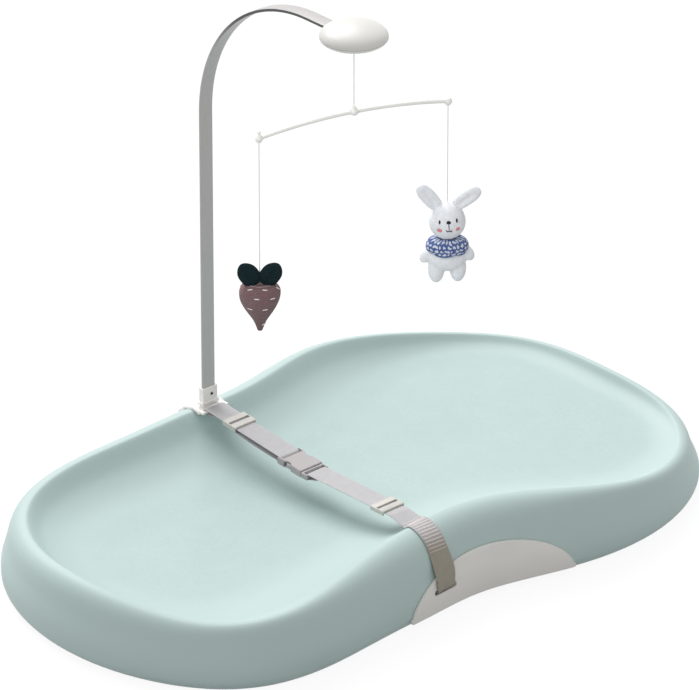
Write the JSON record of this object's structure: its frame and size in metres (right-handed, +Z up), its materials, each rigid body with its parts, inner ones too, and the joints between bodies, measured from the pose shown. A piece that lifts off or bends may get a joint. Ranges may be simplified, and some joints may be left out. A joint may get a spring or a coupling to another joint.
{
  "type": "changing mat",
  "caption": "Hourglass foam changing mat with a raised rim, a buckled belt across it and a bowed arm that carries a hanging mobile.",
  "frame": {"origin": "on the flat underside, halfway along the mat and on its middle line", "axes": "+X along the mat towards its wider, lower end, +Y to the rear edge where the arm stands, +Z up"},
  "size_m": [0.7602, 0.4524, 0.5993],
  "materials": {
    "mint_foam": "satin",
    "greige_plastic": "satin",
    "white_plastic": "satin",
    "pod_plastic": "satin",
    "inner_plastic": "matt",
    "grey_metal": "satin",
    "steel": "satin",
    "dark_screw": "satin",
    "webbing": "woven",
    "buckle_plastic": "satin",
    "thread": "matt",
    "mauve_knit": "knitted",
    "green_knit": "knitted",
    "white_plush": "velour",
    "collar_cloth": "printed cloth"
  },
  "bodies": {
    "base": {"mat_body": "mint_foam", "side_cover_front": "greige_plastic", "side_cover_rear": "greige_plastic", "strap_pin_front": "steel", "arm_bracket": "greige_plastic", "arm_socket": "greige_plastic", "arm_screw": "dark_screw", "strap_rear": "webbing", "strap_front": "webbing", "buckle_socket": "buckle_plastic", "buckle_plug": "buckle_plastic"},
    "arm": {"arm_bar": "grey_metal", "pod_top_shell": "pod_plastic", "pod_bottom_shell": "pod_plastic", "pod_block": "inner_plastic"},
    "swivel": {"swivel_pin": "white_plastic"},
    "hanger": {"main_thread": "thread"},
    "bar": {"crossbar": "white_plastic", "centre_knob": "white_plastic", "bar_cap_left": "white_plastic", "bar_cap_right": "white_plastic", "left_bead": "white_plastic"},
    "left_line": {"left_thread": "thread"},
    "right_line": {"right_thread": "thread"},
    "carrot": {"carrot_body": "mauve_knit", "carrot_leaf_left": "green_knit", "carrot_leaf_right": "green_knit"},
    "bunny": {"bunny_head": "white_plush", "bunny_body": "white_plush", "bunny_collar": "collar_cloth", "bunny_ear_left": "white_plush", "bunny_ear_right": "white_plush", "bunny_arm_left": "white_plush", "bunny_arm_right": "white_plush", "bunny_leg_left": "white_plush", "bunny_leg_right": "white_plush"},
    "prong_left": {"buckle_prong_left": "buckle_plastic"},
    "prong_right": {"buckle_prong_right": "buckle_plastic"},
    "slide_rear": {"adjuster_rear": "buckle_plastic"},
    "slide_front": {"adjuster_front": "buckle_plastic"}
  },
  "joints": [
    {"name": "arm_lift", "type": "slide", "parent": "base", "child": "arm", "axis": [0, 0, 1], "range_m": [0, 0.06]},
    {"name": "mobile_spin", "type": "hinge", "parent": "arm", "child": "swivel", "pos_m": [-0.047, -0.0613, 0.5852], "axis": [0, 0, 1], "continuous": true},
    {"name": "mobile_swing", "type": "hinge", "parent": "swivel", "child": "hanger", "pos_m": [-0.047, -0.0613, 0.572], "axis": [0.9527, -0.304, 0], "range_deg": [-12, 12]},
    {"name": "bar_tilt", "type": "hinge", "parent": "hanger", "child": "bar", "pos_m": [-0.047, -0.0613, 0.5112], "axis": [0.304, 0.9527, 0], "range_deg": [-12, 12]},
    {"name": "left_swing", "type": "hinge", "parent": "bar", "child": "left_line", "pos_m": [-0.14341, -0.03053, 0.4918], "axis": [0.9527, -0.304, 0], "range_deg": [-20, 20]},
    {"name": "right_swing", "type": "hinge", "parent": "bar", "child": "right_line", "pos_m": [0.04941, -0.09207, 0.4918], "axis": [0.9527, -0.304, 0], "range_deg": [-20, 20]},
    {"name": "carrot_spin", "type": "hinge", "parent": "left_line", "child": "carrot", "pos_m": [-0.14341, -0.03053, 0.3388], "axis": [0, 0, 1], "continuous": true},
    {"name": "bunny_spin", "type": "hinge", "parent": "right_line", "child": "bunny", "pos_m": [0.04941, -0.09207, 0.3852], "axis": [0, 0, 1], "continuous": true},
    {"name": "prong_left_press", "type": "hinge", "parent": "base", "child": "prong_left", "pos_m": [-0.057, 0.00216, 0.08372], "axis": [0, -0.0844, 0.9964], "range_deg": [-7, 0], "stiffness_Nm_per_rad": 0.02},
    {"name": "prong_right_press", "type": "hinge", "parent": "base", "child": "prong_right", "pos_m": [-0.037, 0.00216, 0.08372], "axis": [0, -0.0844, 0.9964], "range_deg": [0, 7], "stiffness_Nm_per_rad": 0.02},
    {"name": "slide_rear_adjust", "type": "slide", "parent": "base", "child": "slide_rear", "axis": [0, 0.9964, 0.0844], "range_m": [-0.045, 0.01]},
    {"name": "slide_front_adjust", "type": "slide", "parent": "base", "child": "slide_front", "axis": [0, 0.9998, -0.0192], "range_m": [-0.003, 0.07]}
  ]
}
